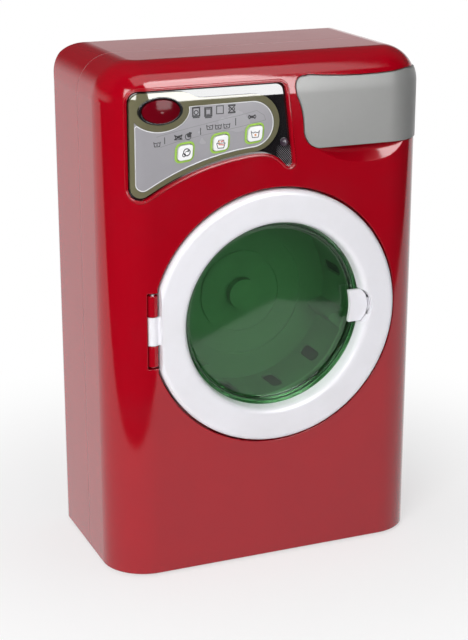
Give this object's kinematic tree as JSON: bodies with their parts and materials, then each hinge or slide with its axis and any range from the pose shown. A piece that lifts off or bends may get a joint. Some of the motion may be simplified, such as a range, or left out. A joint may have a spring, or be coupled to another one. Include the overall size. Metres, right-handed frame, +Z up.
{
  "type": "toy washing machine",
  "caption": "Toy front-loading washing machine: rounded red cabinet, round door with a green window, turning drum, button panel and sliding soap drawer.",
  "frame": {"origin": "on the floor under the middle of the machine, door ring included", "axes": "+Z up, +X to the right seen from the front, +Y to the back; the door faces -Y"},
  "size_m": [0.188, 0.103, 0.288],
  "materials": {
    "red_gloss": "smooth, glossy, deep red",
    "white_gloss": "smooth, satin gloss",
    "green_clear": "see-through, polished",
    "black_gloss": "polished",
    "olive_satin": "satin",
    "silver_satin": "fine metallic satin",
    "green_border": "printed border",
    "red_lens": "see-through, polished",
    "lamp_clear": "clear",
    "key_white": "smooth",
    "grey_satin": "satin",
    "pale_plastic": "plain moulded",
    "drum_grey": "plain moulded",
    "dark_plastic": "plain moulded",
    "gear_white": "moulded acetal",
    "brass": "plain",
    "steel": "zinc plated",
    "rubber": "matt",
    "board": "lacquered board",
    "cell_wrap": "plain wrap"
  },
  "bodies": {
    "cabinet": {"front_shell": "red_gloss", "rear_shell": "red_gloss", "shell_screws": "steel", "feet": "rubber", "panel_backing": "black_gloss", "panel_bezel": "olive_satin", "panel_fascia": "silver_satin", "start_ring": "black_gloss", "key_frames": "green_border", "indicator_lamp": "lamp_clear", "start_spring": "steel", "spin_dome": "rubber", "wash_dome": "rubber", "rinse_dome": "rubber", "control_board": "board", "board_screws": "steel", "drawer_guide": "pale_plastic", "hinge_bracket": "red_gloss", "hinge_pin": "steel", "drum_bush": "brass", "drum_housing": "dark_plastic", "housing_screws": "steel", "idler_axle": "steel", "gear_cover": "gear_white", "motor": "steel", "battery_box": "dark_plastic", "battery_cells": "cell_wrap", "battery_contacts": "steel", "battery_door": "red_gloss", "battery_screw": "steel", "speaker": "dark_plastic"},
    "door": {"door_ring": "white_gloss", "door_back_ring": "white_gloss", "door_window": "green_clear", "door_screws": "steel", "latch_pin": "steel", "latch_spring": "steel"},
    "latch": {"door_latch": "white_gloss"},
    "drum_body": {"drum": "drum_grey", "drum_axle": "steel", "drum_gear": "gear_white"},
    "idler": {"idler_gear": "gear_white"},
    "motor_rotor": {"motor_shaft": "steel", "motor_pinion": "brass"},
    "drawer": {"drawer_front": "grey_satin", "drawer_tray": "pale_plastic"},
    "start": {"start_button": "red_lens"},
    "spin": {"spin_key": "key_white"},
    "wash": {"wash_key": "key_white"},
    "rinse": {"rinse_key": "key_white"}
  },
  "joints": [
    {"name": "door_hinge", "type": "hinge", "parent": "cabinet", "child": "door", "pos_m": [-0.0701, -0.04595, 0.1449], "axis": [0, 0, -1], "range_deg": [0, 100]},
    {"name": "latch_pivot", "type": "hinge", "parent": "door", "child": "latch", "pos_m": [0.0617, -0.0446, 0.1449], "axis": [0, 0, 1], "range_deg": [0, 12], "stiffness_Nm_per_rad": 0.02, "springref_deg": -5.73},
    {"name": "drum_spin", "type": "hinge", "parent": "cabinet", "child": "drum_body", "pos_m": [0.0015, 0, 0.1449], "axis": [0, 1, 0], "continuous": true},
    {"name": "idler_spin", "type": "hinge", "parent": "cabinet", "child": "idler", "pos_m": [0.0195, 0, 0.11372], "axis": [0, 1, 0], "continuous": true},
    {"name": "motor_spin", "type": "hinge", "parent": "cabinet", "child": "motor_rotor", "pos_m": [0.0295, 0, 0.0964], "axis": [0, 1, 0], "continuous": true},
    {"name": "drawer_slide", "type": "slide", "parent": "cabinet", "child": "drawer", "axis": [0, -1, 0], "range_m": [0, 0.045]},
    {"name": "start_press", "type": "slide", "parent": "cabinet", "child": "start", "axis": [0, 1, 0], "range_m": [0, 0.002], "stiffness_N_per_m": 300, "deforming": ["start_spring"]},
    {"name": "spin_press", "type": "slide", "parent": "cabinet", "child": "spin", "axis": [0, 1, 0], "range_m": [0, 0.0012], "stiffness_N_per_m": 300, "deforming": ["spin_dome"]},
    {"name": "wash_press", "type": "slide", "parent": "cabinet", "child": "wash", "axis": [0, 1, 0], "range_m": [0, 0.0012], "stiffness_N_per_m": 300, "deforming": ["wash_dome"]},
    {"name": "rinse_press", "type": "slide", "parent": "cabinet", "child": "rinse", "axis": [0, 1, 0], "range_m": [0, 0.0012], "stiffness_N_per_m": 300, "deforming": ["rinse_dome"]}
  ],
  "couplings": [
    {"joint": "idler_spin", "follows": "drum_spin", "ratio": -5},
    {"joint": "motor_spin", "follows": "drum_spin", "ratio": 20}
  ]
}
